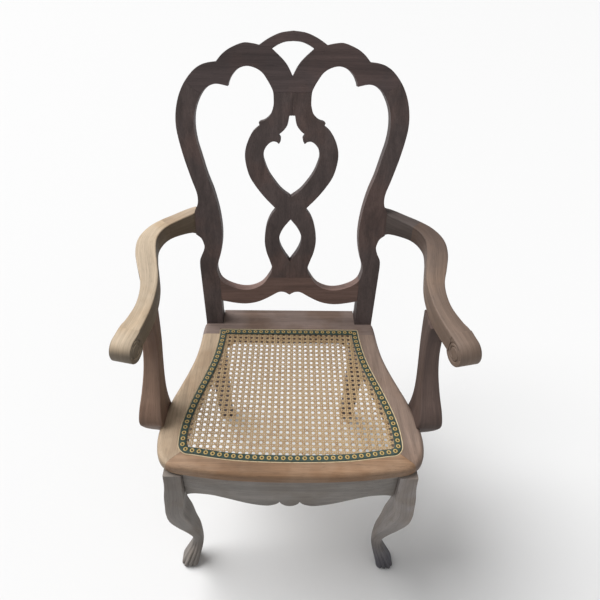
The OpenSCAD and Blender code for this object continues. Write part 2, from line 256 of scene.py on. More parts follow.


# %% [markdown]
# Each part has its own tones, and these also paint light and shade. The uprights
# and the crest get dark tones as painted shade on the back's front. The left arm,
# elbow and support and the seat's left board get pale tones as the lit side; the
# right ones get darker copies as painted shade. So each part of the chair has its
# own tones and its own direction of grain.

# %% Wood tones
OLD_STAIN = (0.78, 0.70, 0.62)
# dark tones on the uprights and crest: painted shade on the back's front faces
back_upright = wood_finish("back_wood_upright", *tones(86, 75, 73), along="Z",
                           stain=(1.25, 1.12, 1.05), sides=0.95)
back_across = wood_finish("back_wood_across", *tones(84, 73, 72), along="X",
                          stain=(1.2, 1.1, 1.05), sides=0.95)
rail_across = wood_finish("rail_wood_across", *tones(126, 102, 94), along="X")
seat_across = wood_finish("seat_wood_across", *tones(156, 128, 104, 0.22), along="X",
                          stain=OLD_STAIN)
seat_along = wood_finish("seat_wood_along", *tones(182, 160, 135, 0.2), along="Y",
                         stain=(0.88, 0.83, 0.79))
# a darker copy for the right seat board: painted shade
seat_shaded = wood_finish("seat_wood_along_shaded", *tones(136, 117, 105, 0.2), along="Y",
                         stain=(0.9, 0.86, 0.82))
seat_rear = wood_finish("seat_wood_rear", *tones(133, 116, 108, 0.2), along="X",
                        stain=OLD_STAIN)
apron_across = wood_finish("apron_wood_across", *tones(150, 144, 138, 0.2), along="X",
                           stain=(0.86, 0.82, 0.78))
apron_along = wood_finish("apron_wood_along", *tones(146, 134, 122, 0.2), along="Y",
                          stain=(0.86, 0.82, 0.78))
leg_left = wood_finish("leg_wood_left", *tones(137, 130, 124, 0.22), along="UV",
                       stain=(0.88, 0.82, 0.76))
# the right leg is painted darker and cooler towards its foot: painted shade
leg_right = wood_finish("leg_wood_right", *tones(162, 155, 151, 0.22), along="UV",
                        stain=(0.88, 0.82, 0.76), fade=((0.42, 0.46, 0.58), 0.41, 0.32))
# pale left arm and darker right arm: lit and shaded copies, painted light and shade
arm_lit = wood_finish("arm_wood_left", *tones(190, 171, 147, 0.16), along="UV",
                       stain=(0.9, 0.84, 0.76), sides=0.3)
# the right arm is painted darker towards its rear end: painted shadow of the back
arm_shaded = wood_finish("arm_wood_right", *tones(124, 106, 94, 0.2), along="UV",
                        stain=(1.16, 1.12, 1.06), fade=((0.6, 0.6, 0.64), 0.02, 0.2), sides=0.8)
# pale left elbow and dark right elbow: lit and shaded copies, painted light and shade
elbow_lit = wood_finish("elbow_wood_left", *tones(174, 155, 134, 0.2), along="UV",
                         stain=(0.9, 0.84, 0.76), sides=0.3)
elbow_shaded = wood_finish("elbow_wood_right", *tones(98, 88, 84, 0.2), along="UV")
# pale left support and dark right support: lit and shaded copies, painted light and shade
support_lit = wood_finish("support_wood_left", *tones(138, 112, 96, 0.22), along="UV",
                           stain=(0.8, 0.76, 0.74))
support_shaded = wood_finish("support_wood_right", *tones(98, 82, 76, 0.22), along="UV",
                           stain=(0.8, 0.76, 0.74))
block_wood = wood_finish("block_wood", *tones(150, 126, 104, 0.2), along="X")
peg_wood = wood_finish("peg_wood", *tones(150, 124, 98, 0.2), along="Z")
print("wood finishes made")

# %% [markdown]
# ## Boards with eased edges
# The flat parts of the back, the seat frame and the aprons are sawn from
# boards, so their outline in the frame is already right. What a sawn board
# lacks is the maker's hand: edges are eased with a file and sandpaper, but only
# where a hand can reach, never where two boards meet. So a copy of each board
# is merged into clean faces, each edge is asked whether it lies against another
# board, and a Bevel modifier rounds it by that much.

# %% Which faces lie against another board
CLOSE = 0.5 * MM
trees = {}
for name, o in nodes.items():
    m = o.data
    trees[name] = BVHTree.FromPolygons([v.co for v in m.vertices],
                                       [list(p.vertices) for p in m.polygons])
box_of = {name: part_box(name) for name in nodes}
near_of = {name: [other for other in trees if other != name
                  and all(box_of[name][0][k] < box_of[other][1][k] + 2 * CLOSE
                          and box_of[other][0][k] < box_of[name][1][k] + 2 * CLOSE
                          for k in range(3))] for name in trees}
print("pieces that may touch the crest rail:", near_of["crest_rail"])


def touches(name, spot):
    return any(trees[other].find_nearest(spot, CLOSE)[0] is not None
               for other in near_of[name])


# %% [markdown]
# Each copy rides the body it belongs to, stands in for its frame node, and
# takes its finish from one material. `show` does that for every piece.

# %% Show a piece
# Painted light and shade from above: the value stored here lets the wood finish darken sides and
# undersides.
def painted_top_light(mesh):
    """How far each corner of the mesh faces up, from 0 to 1."""
    up = []
    for corner in mesh.corner_normals:
        t = min(1.0, max(0.0, (corner.vector.z - 0.15) / 0.7))
        up.append(t * t * (3 - 2 * t))
    mesh.attributes.new("painted_top_light", "FLOAT", "CORNER").data.foreach_set("value", up)


def show(obj, material, node=None):
    obj.data.materials.clear()
    obj.data.materials.append(material)
    if "wood" in obj.name:
        painted_top_light(obj.data)
    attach(obj, "root")
    if node:
        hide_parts(node)
    return obj


def plain_mesh(obj):
    """The shape with its modifiers applied, as a plain mesh."""
    graph = bpy.context.evaluated_depsgraph_get()
    mesh = bpy.data.meshes.new_from_object(obj.evaluated_get(graph))
    obj.modifiers.clear()
    old = obj.data
    obj.data = mesh
    if old.users == 0:
        (bpy.data.meshes if isinstance(old, bpy.types.Mesh) else bpy.data.curves).remove(old)
    return obj


def new_object(name, mesh):
    obj = bpy.data.objects.new(name, mesh)
    bpy.context.scene.collection.objects.link(obj)
    return obj


# %% Ease a board's edges
WELD = 2e-6
SHARP_EDGE, HIDDEN_SHARE = radians(38), 0.12


def eased_board(node, name, ease, material, within=None, split=False):
    """ease is the rounding in metres; within is a solid that trims the board to its shape;
    split cuts a board's big faces in the middle, where they have a hole in them."""
    bm = bmesh.new()
    bm.from_mesh(nodes[node].data)
    bmesh.ops.remove_doubles(bm, verts=bm.verts, dist=WELD)
    if split:
        bmesh.ops.bisect_plane(bm, geom=list(bm.verts) + list(bm.edges) + list(bm.faces),
                               plane_co=(0, 0, 0), plane_no=(1, 0, 0), dist=1e-6)
        for e in bm.edges:
            if all(abs(v.co.x) < WELD for v in e.verts):
                e.seam = True
    bmesh.ops.dissolve_limit(bm, angle_limit=radians(0.6), verts=bm.verts, edges=bm.edges,
                             delimit={"SEAM"})
    bm.normal_update()
    hidden = {f for f in bm.faces if touches(node, f.calc_center_median())}
    layer = bm.edges.layers.float.new("bevel_weight_edge")
    for e in bm.edges:
        if len(e.link_faces) != 2 or e.calc_face_angle(0) < SHARP_EDGE:
            continue
        e[layer] = HIDDEN_SHARE if any(f in hidden for f in e.link_faces) else 1.0
    mesh = bpy.data.meshes.new(name)
    bm.to_mesh(mesh)
    bm.free()
    obj = new_object(name, mesh)
    bevel = obj.modifiers.new("eased edges", "BEVEL")
    bevel.limit_method = "WEIGHT"
    bevel.width = ease
    bevel.segments = 3
    bevel.miter_outer = "MITER_ARC"
    if within is not None:
        trim = obj.modifiers.new("trimmed", "BOOLEAN")
        trim.operation = "INTERSECT"
        trim.solver = "EXACT"
        trim.object = within
    plain_mesh(obj)
    obj.data.shade_smooth()
    obj.data.set_sharp_from_angle(angle=radians(34))
    even = obj.modifiers.new("even shading", "WEIGHTED_NORMAL")
    even.keep_sharp = True
    even.weight = 100
    plain_mesh(obj)
    return show(obj, material, node)


for node, mat in (("rear_leg_left", back_upright), ("rear_leg_right", back_upright),
                  ("crest_rail", back_across), ("splat_left_half", back_upright),
                  ("splat_right_half", back_upright), ("lower_back_rail", rail_across)):
    o = eased_board(node, node + "_wood", 2.2 * MM, mat,
                    split=node == "crest_rail")
    print(o.name, len(o.data.polygons), "faces")

# %% [markdown]
# ## Bent pieces
# Arms, arm supports and front legs are bent and change their section all the
# way. They are made the way a spokeshave works, section by section: each
# section is a rectangle with rounded corners, and a skin joins them. The skin
# gets a UV map along the piece, so the grain can follow the bend. The seat's
# rounded edge is made with the same skin, so it comes before the seat.

# %% A rounded section and a skin
SKIN_SHARP = radians(50)


def section(a, b, corner, arc=4, flat=1):
    """Points of a rounded rectangle of half sizes a and b, with some on its flats."""
    corner = min(corner, a * 0.96, b * 0.96)
    signs = ((1, 1), (-1, 1), (-1, -1), (1, -1))
    corners = []
    for q, (sx, sy) in enumerate(signs):
        turns = [(q + k / arc) * pi / 2 for k in range(arc + 1)]
        corners.append([(sx * (a - corner) + corner * cos(w), sy * (b - corner) + corner * sin(w))
                        for w in turns])
    out = []
    for q in range(4):
        out += corners[q]
        (x1, y1), (x2, y2) = corners[q][-1], corners[(q + 1) % 4][0]
        out += [(x1 + (x2 - x1) * k / (flat + 1), y1 + (y2 - y1) * k / (flat + 1))
                for k in range(1, flat + 1)]
    return out


def face_out(mesh):
    """Turn every face outwards."""
    bm = bmesh.new()
    bm.from_mesh(mesh)
    bmesh.ops.recalc_face_normals(bm, faces=bm.faces)
    bm.to_mesh(mesh)
    bm.free()


def skin(name, rings):
    """A closed skin over rings of points, with a UV map along and around."""
    n = len(rings[0])
    verts = [p for ring in rings for p in ring]
    faces = [[i * n + j, i * n + (j + 1) % n, (i + 1) * n + (j + 1) % n, (i + 1) * n + j]
             for i in range(len(rings) - 1) for j in range(n)]
    faces.append(list(range(n))[::-1])
    faces.append([(len(rings) - 1) * n + j for j in range(n)])
    mesh = bpy.data.meshes.new(name)
    mesh.from_pydata([tuple(v) for v in verts], [], faces)
    uv = mesh.uv_layers.new(name="grain")
    run = [0.0]
    for a, b in zip(rings, rings[1:]):
        ca, cb = sum(a, Vector()) / n, sum(b, Vector()) / n
        run.append(run[-1] + (cb - ca).length)
    girth = []
    for ring in rings:
        g = [0.0]
        for j in range(n):
            g.append(g[-1] + (ring[(j + 1) % n] - ring[j]).length)
        girth.append(g)
    spin = sum(g[-1] for g in girth) / len(girth)
    for f, poly in enumerate(mesh.polygons):
        for k, loop in enumerate(poly.loop_indices):
            v = mesh.loops[loop].vertex_index
            i, j = divmod(v, n)
            if f < len(faces) - 2 and j == 0 and k in (1, 2):
                j = n
            uv.data[loop].uv = (run[i], girth[i][min(j, n)] / girth[i][-1] * spin)
    face_out(mesh)
    mesh.shade_smooth()
    mesh.set_sharp_from_angle(angle=SKIN_SHARP)
    return mesh


print("a plain section has", len(section(10, 6, 2)), "points")

# %% [markdown]
# ## The seat frame
# Four boards make the seat frame: the front and sides meet in mitres, the sides
# butt against the rear board. A maker glues them up first and then runs a plane
# and a spokeshave round the whole outer edge, so the nosing runs on over the
# joints. Here a slab with that nosing is made first, and each board is the part
# of it that lies inside its frame node. The nosing dies out at the rear legs.

# %% A slab with a rounded edge
seat_edge = [[0, -62], [70, -61], [140, -56.5], [195, -49], [222, -43.5], [240, -33],
             [251, -17], [257, 6], [259, 34], [255, 76], [246, 118], [236, 152],
             [224, 194], [214, 238], [209, 278], [207, 316], [206, 338], [200.5, 352.5],
             [188, 360]]
behind_legs = [[166, 366], [166, 412]]
SEAT_THICK = 27.0
TRIM, PROUD = 0.3, 0.05
FADE_FROM, FADE_OVER = 338, 20


def nosed_slab(over=11.0, under=8.0, steps=6):
    """The seat as one slab, rounded by over on top and by under below."""
    left_of_middle = [-seat_edge[1][0], seat_edge[1][1]]
    right = fair([left_of_middle] + seat_edge, steps)[steps:] + behind_legs
    line = [[-x, y] for x, y in right[:0:-1]] + right
    n = len(line)
    rings = []
    for low in (True, False):
        size = under if low else over
        for k in range(steps + 1):
            w = pi / 2 * (k / steps if not low else 1 - k / steps)
            ring = []
            for i, (x, y) in enumerate(line):
                (ax, ay), (bx, by) = line[i - 1], line[(i + 1) % n]
                run = Vector((bx - ax, by - ay)).normalized()
                share = 1 - min(1, max(0, (y - FADE_FROM) / FADE_OVER))
                r = size * share
                back = TRIM * share + r * (1 - cos(w))
                z = PROUD - r * (1 - sin(w))
                ring.append(place(x - run.y * back, y + run.x * back,
                                  -SEAT_THICK - z if low else z))
            rings.append(ring)
    return skin("slab", rings)


slab = new_object("slab", nosed_slab())
print("slab faces", len(slab.data.polygons))

# %% [markdown]
# Each board is trimmed to the slab, and then the slab is thrown away.

# %% Seat frame boards
for node, mat in (("seat_frame_front", seat_across), ("seat_frame_left", seat_along),
                  ("seat_frame_right", seat_shaded), ("seat_frame_rear", seat_rear)):
    o = eased_board(node, node + "_wood", 0.7 * MM, mat, within=slab)
    print(o.name, len(o.data.polygons), "faces")
slab_mesh = slab.data
bpy.data.objects.remove(slab)
bpy.data.meshes.remove(slab_mesh)

# %% [markdown]
# ## Aprons
# The aprons under the seat are plain boards, the front one with a scalloped
# lower edge. They are eased like the back.

# %% Apron boards
for node, mat in (("front_apron", apron_across), ("side_apron_left", apron_along),
                  ("side_apron_right", apron_along), ("rear_apron", apron_across)):
    o = eased_board(node, node + "_wood", 1.6 * MM, mat)
    print(o.name, len(o.data.polygons), "faces")

# %% [markdown]
# ## Arms
# Each arm leaves the upright of the back as a short elbow piece, turns forward,
# narrows, then swells into a roll at the front. A row gives one section: across,
# back, half width, top, bottom, heading in degrees and how far it leans.

# %% Arm sections
arm_set, set_from, set_over = 5.0, 380, 310
arm_rows = [[213, 426, 14.4, 271, 222, 0, 0.24], [228, 418, 14.5, 269, 226, 34, 0.2],
            [250, 401, 15, 267.5, 229, 40, 0.1], [274, 381, 16, 266, 229, 45, 0],
            [291, 357, 18, 264, 227, 62, 0], [301, 326, 20, 260, 223, 86, 0],
            [298.5, 290, 21, 254.5, 217, 100, 0], [289, 252, 20, 247.5, 209, 106, 0],
            [279, 214, 17.5, 241, 201, 104, 0], [276, 178, 16, 235, 194, 94, 0],
            [279, 142, 16.2, 228.5, 187, 80, 0], [288.3, 108, 18.4, 222.4, 183, 74, 0],
            [293.3, 94, 20.1, 220.7, 182, 76, 0], [296, 82, 20.3, 219.4, 181, 77, 0]]
elbow_end = 3


def arm_ring(row, side):
    x, y, half, top, bottom, heading, lean = row
    drift = side * arm_set * max(0, (set_from - y) / set_over) ** 2
    w = radians(heading)
    ring = []
    for p, q in section(half, (top - bottom) / 2, 2.6):
        ring.append(place(side * (x + drift - p * sin(w)), y - p * cos(w) + lean * q,
                          (top + bottom) / 2 + q))
    return ring


def arm_rings(first, last, side, steps=6):
    rows = fair(arm_rows, steps)[first * steps:last * steps + 1]
    return [arm_ring(r, side) for r in rows]


print("arm sections", len(arm_rings(0, len(arm_rows) - 1, 1)))

# %% [markdown]
# The roll at the front of an arm is a short drum that lies across the arm. Its
# outline is round below and in front, and above it runs back into the arm's
# top. Each of its faces carries a carved spiral: a groove that runs in towards
# the eye. The face is a set of rings whose height drops where the spiral runs,
# and the grain goes round the drum, as it does in a bent piece.

# %% The rolled arm end
LIP = 1.4
ROLL_RADIUS, ROLL_HALF = 25.0, 20.4
SPIRAL_START, SPIRAL_STEP, SPIRAL_EYE = 21.0, 6.6, 9.6
GROOVE_WIDE, GROOVE_DEEP = 1.15, 2.0
TOP_SLOPE, BACK_REACH = 0.125, 0.96
HUB = 0.04
SEAM = 0.44
ARM_LENGTH = 0.4


def roll_reach(w):
    """How far the drum's outline is from its centre at angle w; w is 0 in front, pi/2 on top."""
    if pi / 2 < w < pi:
        along_top = ROLL_RADIUS / max(0.01, sin(w) + TOP_SLOPE * cos(w))
        return min(along_top, ROLL_RADIUS * BACK_REACH / max(0.01, -cos(w)))
    return ROLL_RADIUS


def roll(side):
    heading = radians(77)
    out = Vector((side * sin(heading), cos(heading), 0))
    ahead = Vector((side * cos(heading), -sin(heading), 0))
    up = Vector((0, 0, 1))
    centre = place(side * 300 + arm_set, 66, 192.5)
    spokes, hoops = 96, 28
    angles = [2 * pi * (k / spokes + SEAM) % (2 * pi) for k in range(spokes)]
    faces = []
    for face in (-1, 1):
        hooped = []
        for h in range(hoops + 1):
            ring = []
            for w in angles:
                reach = roll_reach(w)
                r = reach * (HUB + (1 - HUB) * h / hoops)
                laps = [SPIRAL_START - SPIRAL_STEP * (w / (2 * pi) + lap) for lap in range(3)]
                groove = sum(exp(-((r - path) / GROOVE_WIDE) ** 2)
                             for path in laps if path > SPIRAL_EYE)
                ease = min(1.0, max(0.0, (r - reach + LIP) / LIP))
                lip = LIP * (1 - (1 - ease ** 2) ** 0.5)
                depth = ROLL_HALF - lip - GROOVE_DEEP * min(1, groove)
                ring.append(centre + ((ahead * cos(w) + up * sin(w)) * r
                                      + out * face * depth) * MM)
            hooped.append(ring)
        faces.append(hooped)
    mesh = skin("roll", faces[0] + faces[1][::-1])
    for spot in mesh.uv_layers["grain"].data:
        spot.uv = (spot.uv[1] + ARM_LENGTH, spot.uv[0])
    return mesh


def join(name, meshes):
    bm = bmesh.new()
    for m in meshes:
        bm.from_mesh(m)
        bpy.data.meshes.remove(m)
    mesh = bpy.data.meshes.new(name)
    bm.to_mesh(mesh)
    bm.free()
    mesh.set_sharp_from_angle(angle=SKIN_SHARP)
    return mesh


for side, word, arm_mat, elbow_mat in ((-1, "left", arm_lit, elbow_lit),
                                       (1, "right", arm_shaded, elbow_shaded)):
    arm = join("arm", [skin("arm", arm_rings(elbow_end, len(arm_rows) - 1, side)), roll(side)])
    show(new_object("arm_" + word + "_wood", arm), arm_mat, "arm_" + word)
    elbow = skin("elbow", arm_rings(0, elbow_end, side))
    show(new_object("arm_elbow_" + word + "_wood", elbow), elbow_mat,
         "arm_elbow_" + word)
print("arms made")

# %% [markdown]
# ## Arm supports
# A support grows out of the side of the seat, swells, and bends back up to the
# arm. Its sections are level, so a row is: across, back, height, half sizes.

# %% Supports
support_rows = [[243, 101, -70, 8, 10], [252, 97, -60, 15, 16], [259, 94, -46, 19, 22],
                [265, 90, -29, 21, 29], [270, 84, -10, 22, 34], [272.5, 78, 12, 23, 37],
                [273, 84, 35, 21.5, 33], [271.5, 100, 65, 18.5, 25], [270, 118, 100, 16, 21],
                [270, 134, 135, 15, 20.5], [273, 149, 165, 15, 23], [276, 158, 188.5, 15, 28]]
for side, word, mat in ((-1, "left", support_lit), (1, "right", support_shaded)):
    rings = []
    for x, y, z, a, b in fair(support_rows, 6):
        rings.append([place(side * (x + p), y + q, z) for p, q in section(a, b, 3.2)])
    show(new_object("arm_support_" + word + "_wood", skin("support", rings)),
         mat, "arm_support_" + word)
print("supports made")

# %% [markdown]
# ## Front legs
# A cabriole leg: square where the aprons meet it, out at the knee, in at the
# ankle, and out again to a paw. Three grooves between four toes are cut into
# the front of the paw by pushing those points inwards.

# %% Legs
leg_rows = [[222, -24, -27, 17, 24, 1.5], [222.5, -25, -60, 17.5, 25, 1.5],
            [225, -26, -95, 19.6, 25.5, 2], [229.5, -26, -130, 18, 25.5, 3],
            [232, -24, -165, 18.5, 25, 4], [228.5, -17, -210, 22, 23, 4.5],
            [222.5, -7, -258, 19, 20, 5.5], [214.5, 3, -303, 15.5, 17, 7],
            [210, 10, -342, 12.5, 14, 9], [209.5, 12, -366, 12, 13.5, 10.5],
            [213, 9, -387, 14, 16, 12], [222, 1, -409, 17, 20, 13],
            [229.5, -5, -428, 19.5, 22, 13], [231, -5, -437, 19.5, 21.5, 12],
            [231, -5, -440, 17, 19, 11]]


ANKLE, ANKLE_OVER = -350, 30
TOE_DEEP, TOE_WIDE = 0.17, 0.09
between_toes = [radians(48), radians(78), radians(108)]


def toe_grooves(p, q, height):
    """How far a point of the paw is pushed in, from 0 to 1."""
    if height > ANKLE:
        return 0.0
    w = atan2(-q, p)
    fade = min(1.0, (ANKLE - height) / ANKLE_OVER)
    return fade * sum(exp(-((w - gap) / TOE_WIDE) ** 2) for gap in between_toes)


for side, word, mat in ((-1, "left", leg_left), (1, "right", leg_right)):
    rings = []
    for x, y, z, a, b, corner in fair(leg_rows, 8):
        ring = []
        for p, q in section(a, b, corner, arc=8, flat=7):
            keep = 1 - TOE_DEEP * toe_grooves(p, q, z)
            ring.append(place(side * (x + p * keep), y + q * keep, z))
        rings.append(ring)
    leg = skin("leg", rings)
    show(new_object("front_leg_" + word + "_wood", leg), mat, "front_leg_" + word)
print("legs made")

# %% [markdown]
# ## The line of the cane
# The cane fills an opening in the seat frame. Its outline is needed three
# times: to cut the strands to length, to lay the reed, and to lay the braid.

# %% Outline of the opening
def opening_outline(steps=5):
    right = fair([[0, -32], [60, -31], [120, -27], [184, -17]], steps)
    right += [[189 + 25 * cos(radians(a)), 8 + 25 * sin(radians(a))] for a in range(-70, -9, 10)]
    right += fair([[214.5, 16], [214.5, 34], [213, 56], [209, 82], [202, 114], [194, 146],
                   [184, 182], [174, 222], [168, 258], [164, 298]], steps)
    right += [[163, 331]]
    return right + [[-x, y] for x, y in right[::-1] if x > 0.01]


def inset(line, d):
    out = []
    n = len(line)
    for i in range(n):
        a, b, c = (Vector(line[(i + k) % n]) for k in (-1, 0, 1))
        u, v = (b - a).normalized(), (c - b).normalized()
        m = (u + v).normalized()
        out.append(b + d / max(0.5, m.dot(u)) * Vector((-m.y, m.x)))
    return out


opening = opening_outline()
print("points round the opening", len(opening))

# %% [markdown]
# ## Woven cane
# The seat is the common six-way cane: pairs of strands run back and across,
# half an inch apart, and single strands cross them both ways on the diagonal,
# which leaves rows of small round holes. Strands repeat hundreds of times
# along straight paths, so Geometry Nodes give each path its strip and its
# over-and-under wave. Python only cuts the paths to the opening.

# %% Cutting lines to the opening
PITCH = 12.7
TURN = radians(-1.148)
HOLE = Vector((-57.0, 0.0))
TUCKED, SHORTEST, BETWEEN_POINTS = 5.0, 6, 24
edge = inset(opening, TUCKED)


def cut(origin, direction):
    """The stretches of a line that lie inside the opening."""
    hits = []
    for i in range(len(edge)):
        a, b = edge[i], edge[(i + 1) % len(edge)]
        s = b - a
        den = direction.x * s.y - direction.y * s.x
        if abs(den) < 1e-9:
            continue
        w = a - origin
        t = (w.x * s.y - w.y * s.x) / den
        k = (w.x * direction.y - w.y * direction.x) / den
        if 0 <= k < 1:
            hits.append(t)
    hits.sort()
    return [(hits[i], hits[i + 1]) for i in range(0, len(hits) - 1, 2)
            if hits[i + 1] - hits[i] > SHORTEST]


def sag(x, y):
    """The cane dips a little in the middle."""
    return -3.0 * max(0.0, 1 - (x / 190) ** 2) * max(0.0, 1 - ((y - 150) / 185) ** 2)


def strand_paths(name, angle, strands_at, lift):
    """Straight paths at an angle. Each strand has an offset and a phase of its wave."""
    d = Vector((cos(TURN + angle), sin(TURN + angle)))
    across = Vector((-d.y, d.x))
    verts, edges, run, over = [], [], [], []
    for off, phase in strands_at:
        origin = HOLE + across * off
        for a, b in cut(origin, d):
            first = len(verts)
            steps = max(2, ceil((b - a) / BETWEEN_POINTS))
            for k in range(steps + 1):
                t = a + (b - a) * k / steps
                p = origin + d * t
                verts.append(place(p.x, p.y, lift + sag(p.x, p.y)))
                run.append(t)
                over.append(phase)
                if k:
                    edges.append((first + k - 1, first + k))
    mesh = bpy.data.meshes.new(name)
    mesh.from_pydata(verts, edges, [])
    for label, values in (("run", run), ("over", over)):
        mesh.attributes.new(label, "FLOAT", "POINT").data.foreach_set("value", values)
    return mesh


# %% The strand tree
def tree_with(name, inputs):
    tree = bpy.data.node_groups.new(name, "GeometryNodeTree")
    tree.interface.new_socket(name="Geometry", in_out="INPUT", socket_type="NodeSocketGeometry")
    tree.interface.new_socket(name="Geometry", in_out="OUTPUT", socket_type="NodeSocketGeometry")
    for label, kind, value in inputs:
        s = tree.interface.new_socket(name=label, in_out="INPUT", socket_type=kind)
        if value is not None:
            s.default_value = value
    return tree, tree.nodes.new("NodeGroupInput").outputs, tree.nodes.new("NodeGroupOutput")


def finish_tree(tree, geometry, sizes, end):
    """Real geometry with its finish, sent to the tree's end."""
    real = add(tree, "GeometryNodeRealizeInstances", {"Geometry": geometry})
    paint = add(tree, "GeometryNodeSetMaterial", {
        "Geometry": real.outputs["Geometry"], "Material": sizes["Finish"]})
    tree.links.new(paint.outputs["Geometry"], end.inputs["Geometry"])


def run_tree(obj, tree, values):
    mod = obj.modifiers.new(tree.name, "NODES")
    mod.node_group = tree
    for item in tree.interface.items_tree:
        if item.in_out == "INPUT" and item.name in values:
            mod[item.identifier] = values[item.name]
    obj.update_tag()
    return plain_mesh(obj)


def strand_tree():
    tree, sizes, end = tree_with("Cane strand", [
        ("Width", "NodeSocketFloat", 0.0023), ("Thickness", "NodeSocketFloat", 0.0006),
        ("Wave length", "NodeSocketFloat", PITCH), ("Wave", "NodeSocketFloat", 0.0004),
        ("Step", "NodeSocketFloat", 0.0021), ("Finish", "NodeSocketMaterial", None)])
    path = add(tree, "GeometryNodeMeshToCurve", {"Mesh": sizes["Geometry"]})
    even = add(tree, "GeometryNodeResampleCurve", {
        "Curve": path.outputs["Curve"], "Length": sizes["Step"]}, mode="LENGTH")
    run, over = (add(tree, "GeometryNodeInputNamedAttribute", {"Name": label},
                     data_type="FLOAT").outputs["Attribute"] for label in ("run", "over"))
    turn = math(tree, "MULTIPLY", math(tree, "DIVIDE", run, sizes["Wave length"]), 2 * pi)
    height = math(tree, "MULTIPLY", math(tree, "SINE", math(tree, "ADD", turn, over)),
                  sizes["Wave"])
    up = add(tree, "ShaderNodeCombineXYZ", {"Z": height})
    wave = add(tree, "GeometryNodeSetPosition", {
        "Geometry": even.outputs["Curve"], "Offset": up.outputs["Vector"]})
    level = add(tree, "GeometryNodeSetCurveNormal", {"Curve": wave.outputs["Geometry"]},
                mode="Z_UP")
    ring = add(tree, "GeometryNodeCurvePrimitiveCircle", {"Resolution": 6, "Radius": 0.5})
    size = add(tree, "ShaderNodeCombineXYZ", {
        "X": sizes["Width"], "Y": sizes["Thickness"], "Z": 1.0})
    flat = add(tree, "GeometryNodeTransform", {
        "Geometry": ring.outputs["Curve"], "Scale": size.outputs["Vector"]})
    strip = add(tree, "GeometryNodeCurveToMesh", {
        "Curve": level.outputs["Curve"], "Profile Curve": flat.outputs["Geometry"],
        "Fill Caps": True})
    finish_tree(tree, strip.outputs["Mesh"], sizes, end)
    return tree


strands = strand_tree()
print("strand tree nodes", len(strands.nodes))

# %% [markdown]
# Cane is the bark of the rattan palm: straw coloured, a little glossy on its
# skin side, with darker flecks. A coarse noise gives the flecks and a fine one
# dents the surface.

# %% The cane finish
def cane_finish(name, base, dark, rough=0.42):
    mat, t, shader = new_finish(name, Specular_IOR_Level=0.45, Roughness=rough)
    source = add(t, "ShaderNodeTexCoord").outputs["Object"]
    slow = noise(t, source, 120, 5, rough=0.8)
    t.links.new(ramp(t, slow, (0.32, dark), (0.5, base)), shader.inputs["Base Color"])
    dented(t, shader, noise(t, source, 900, 3), 0.24, 0.2 * MM)
    return mat


cane_straw = cane_finish("cane_straw", light_of(178, 152, 116), light_of(140, 106, 70))
reed_cream = cane_finish("reed_cream", light_of(196, 178, 144), light_of(158, 132, 98), 0.5)
print("cane finishes", cane_straw.name, reed_cream.name)

# %% [markdown]
# The pairs lie half-way between the open holes. Two strands of a pair wave in
# opposite phases, so at each crossing one passes over and the other under, and
# the weave locks. The slanting strands cross the pairs between neighbouring
# holes: one slant passes over the upright pairs and under the level ones, the
# other slant does the opposite.

# %% Weave the seat
half = PITCH / 2
GAP = 2.0
DEPTH = -2.4
pairs_up = [(-(half + PITCH * i) + s * GAP, 0.0 if s < 0 else pi)
            for i in range(-20, 21) for s in (-1, 1)]
pairs_level = [(half + PITCH * i + s * GAP, 0.0 if s < 0 else pi)
               for i in range(-14, 40) for s in (-1, 1)]
slant = PITCH / 2 ** 0.5
slant_a, slant_b = ([((n + 0.5) * slant, s * (pi / 2 - pi * (n + 1.5))) for n in range(-60, 61)]
                    for s in (1, -1))
PAIRED, SLANTED = (2.6 * MM, 0.35 * MM, PITCH), (2.4 * MM, 0.75 * MM, PITCH * 2 ** 0.5)
weave = (("cane_upright_strands", pi / 2, pairs_up, PAIRED),
         ("cane_level_strands", 0.0, pairs_level, PAIRED),
         ("cane_slant_strands_a", pi / 4, slant_a, SLANTED),
         ("cane_slant_strands_b", 3 * pi / 4, slant_b, SLANTED))
for name, angle, strands_at, (width, wave, wave_length) in weave:
    o = new_object(name, strand_paths(name, angle, strands_at, DEPTH))
    o.data.materials.append(cane_straw)
    run_tree(o, strands, {"Width": width, "Wave": wave, "Wave length": wave_length,
                          "Finish": cane_straw})
    o.data.shade_smooth()
    show(o, cane_straw, "cane_panel")
    print(name, len(o.data.polygons), "faces")

# %% [markdown]
# ## Reed
# A round reed is driven into the groove round the cane and holds its edge. It
# is one path with one section, so the same small tree serves it.

# %% The reed
def closed_path(name, line, up):
    verts = [place(p[0], p[1], up) for p in line]
    mesh = bpy.data.meshes.new(name)
    mesh.from_pydata(verts, [(i, (i + 1) % len(verts)) for i in range(len(verts))], [])
    for label in ("run", "over"):
        mesh.attributes.new(label, "FLOAT", "POINT").data.foreach_set("value", [0.0] * len(verts))
    return mesh


reed = new_object("cane_reed", closed_path("reed", inset(opening, -1.3), -0.9))
run_tree(reed, strands, {"Width": 0.0025, "Thickness": 0.0026, "Wave": 0.0, "Step": 0.004,
                         "Finish": reed_cream})
reed.data.shade_smooth()
show(reed, reed_cream, "cane_spline")
print("reed faces", len(reed.data.polygons))

# %% [markdown]
# ## Braid
# A dark green woven braid hides where the cane meets the frame. The ribbon is a
# low, slightly crowned band swept round the opening, with a UV map along it,
# so that its ribs follow the bend.

# %% The braid's ribbon
RIBBON_WIDE, RIBBON_LOW, RIBBON_THICK, RIBBON_IN = 14.0, -1.6, 2.1, 0.4
ribbon_profile = [(-0.5, 0.0), (-0.5, 0.55), (-0.44, 0.85), (-0.25, 0.98), (0.0, 1.0),
                  (0.25, 0.98), (0.44, 0.85), (0.5, 0.55), (0.5, 0.0)]


